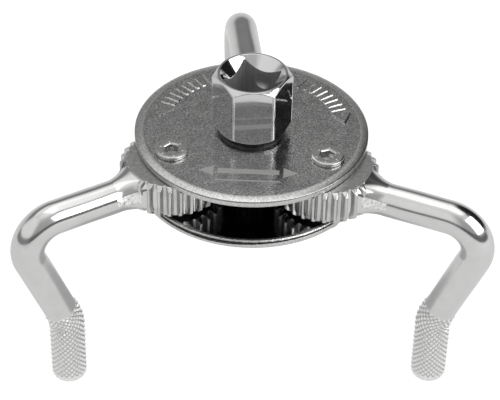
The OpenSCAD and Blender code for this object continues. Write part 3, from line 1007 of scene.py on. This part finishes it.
def floor():
    """A plain pale floor with a faint glow of its own, so that shadows on it stay light. Its glow to
    reflections is dimmed under the tool as a painted shadow.
    """
    m = Mat("studio_floor", (0.25, 0.25, 0.25), metallic=0.0, rough=0.8)
    m.vary("Base Color", m.noise(0.002, 2.0), [(0.3, (0.24, 0.24, 0.24)), (0.7, (0.26, 0.26, 0.26))])
    path = m.add("ShaderNodeLightPath").outputs["Is Camera Ray"]
    glow = m.add("ShaderNodeMapRange")
    glow.inputs["To Max"].default_value = FLOOR_GLOW[1]
    m.link(path, glow.inputs["Value"])
    place = m.add("ShaderNodeTexCoord").outputs["Object"]
    away = m.add("ShaderNodeVectorMath")
    away.operation = "LENGTH"
    m.link(place, away.inputs[0])
    # Painted shadow: the glow seen in reflections drops under the tool
    under = m.add("ShaderNodeMapRange")
    under.interpolation_type = "SMOOTHSTEP"
    for key, value in zip(("From Min", "From Max", "To Min", "To Max"), PAINTED_SHADOW_UNDER_TOOL + (FLOOR_GLOW[0],)):
        under.inputs[key].default_value = value
    m.link(away.outputs["Value"], under.inputs["Value"])
    m.link(under.outputs["Result"], glow.inputs["To Min"])
    m.set("Emission Color", (1, 1, 1, 1))
    m.link(glow.outputs["Result"], m.bsdf.inputs["Emission Strength"])
    mesh = bpy.data.meshes.new("floor")
    half = 4.0
    mesh.from_pydata([(-half, -half, 0), (half, -half, 0), (half, half, 0), (-half, half, 0)],
                     [], [(0, 1, 2, 3)])
    mesh.materials.append(m.mat)
    obj = bpy.data.objects.new("studio_floor", mesh)
    bpy.context.scene.collection.objects.link(obj)
    gap = 0.0002
    obj.location.z = -gap


def area(name, where, size, energy):
    """A soft box that faces the tool."""
    light = bpy.data.lights.new(name, "AREA")
    light.shape = "RECTANGLE"
    light.size, light.size_y = size
    light.energy = energy
    obj = bpy.data.objects.new(name, light)
    bpy.context.scene.collection.objects.link(obj)
    obj.location = where
    obj.rotation_euler = (LIGHT_AIM - Vector(where)).to_track_quat("-Z", "Y").to_euler()


def world():
    """A room that is pale overhead and in front, dimmer behind, with a black card at the right rear."""
    w = bpy.data.worlds.new("studio")
    bpy.context.scene.world = w
    w.use_nodes = True
    t = w.node_tree

    def node(kind, **inputs):
        n = t.nodes.new(kind)
        for key, value in inputs.items():
            n.inputs[key].default_value = value
        return n

    def ramp(value, stops):
        return colour_ramp(t, value, stops)

    def blend(fac, a, b):
        n = node("ShaderNodeMix")
        n.data_type = "RGBA"
        t.links.new(fac, n.inputs["Factor"])
        t.links.new(a, n.inputs[6])
        t.links.new(b, n.inputs[7])
        return n.outputs[2]

    def toward(azimuth, elevation):
        """Cosine of the angle to a direction."""
        a, e = math.radians(azimuth), math.radians(elevation)
        n = node("ShaderNodeVectorMath")
        n.operation = "DOT_PRODUCT"
        t.links.new(coord, n.inputs[0])
        n.inputs[1].default_value = (math.cos(a) * math.cos(e), math.sin(a) * math.cos(e), math.sin(e))
        return n.outputs["Value"]

    coord = node("ShaderNodeTexCoord").outputs["Generated"]
    height = toward(0, 90)
    front = ramp(height, [(0.0, 0.14), (0.20, 0.15), (0.28, 0.42), (0.70, 0.46), (0.86, 0.60), (1.0, 1.1)])
    rear = ramp(height, [(0.0, 0.75), (0.22, 0.62), (0.40, 0.24), (0.64, 0.26), (0.73, 1.0), (1.0, 0.95)])
    left = ramp(height, [(0.0, 0.24), (0.20, 0.26), (0.28, 0.86), (1.0, 0.95)])
    side = ramp(toward(90, 0), [(0.0, 0.0), (0.25, 1.0)])
    sky = blend(side, front, rear)
    sky = blend(ramp(toward(210, 20), [(0.62, 0.0), (0.80, 1.0)]), sky, left)
    card = ramp(toward(34, 36), [(0.80, 0.0), (0.90, 1.0)])
    black = node("ShaderNodeRGB").outputs[0]
    black.default_value = (0.015, 0.015, 0.015, 1)
    sky = blend(card, sky, black)
    plain = node("ShaderNodeBackground", Color=(1, 1, 1, 1))
    mix = node("ShaderNodeMixShader")
    t.links.new(sky, t.nodes["Background"].inputs["Color"])
    t.links.new(node("ShaderNodeLightPath").outputs["Is Camera Ray"], mix.inputs["Fac"])
    t.links.new(t.nodes["Background"].outputs["Background"], mix.inputs[1])
    t.links.new(plain.outputs["Background"], mix.inputs[2])
    t.links.new(mix.outputs["Shader"], t.nodes["World Output"].inputs["Surface"])


def camera():
    """Stands in front of and above the head, looking down at the plates."""
    distance, elevation, azimuth = 0.5706, math.radians(36.69), math.radians(1.73)
    tilt, roll = math.radians(-2.17), math.radians(1.28)
    data = bpy.data.cameras.new("camera")
    data.sensor_width, data.lens = 36.0, 137.16
    obj = bpy.data.objects.new("camera", data)
    bpy.context.scene.collection.objects.link(obj)
    away = Vector((0, -math.cos(elevation), math.sin(elevation)))
    forward = -away
    up = Vector((1, 0, 0)).cross(forward)
    forward = (forward + math.tan(tilt) * up).normalized()
    right = forward.cross(Vector((0, 0, 1))).normalized()
    up = right.cross(forward)
    right, up = (math.cos(roll) * right + math.sin(roll) * up, math.cos(roll) * up - math.sin(roll) * right)
    turn = Matrix((right, up, -forward)).transposed().to_4x4()
    stand = Matrix.Translation(away * distance + Vector((0, 0, PLATE_Z * MM)))
    obj.matrix_world = Matrix.Rotation(azimuth, 4, "Z") @ stand @ turn
    data.clip_start, data.clip_end = 0.01, 20
    bpy.context.scene.camera = obj


camera()
world()
floor()
area("overhead", (0.10, 0.15, 1.1), (0.9, 0.7), 0.95)
area("key", (0.77, -0.34, 0.665), (1.0, 0.70), 7.0)
bpy.context.scene.view_settings.view_transform = "Standard"

dress_cad_nodes()
top_plate()
bottom_plate()
etched_mark()
drive_spindle()
for side in SIDES:
    arm(side)
    pivot_screw(side)
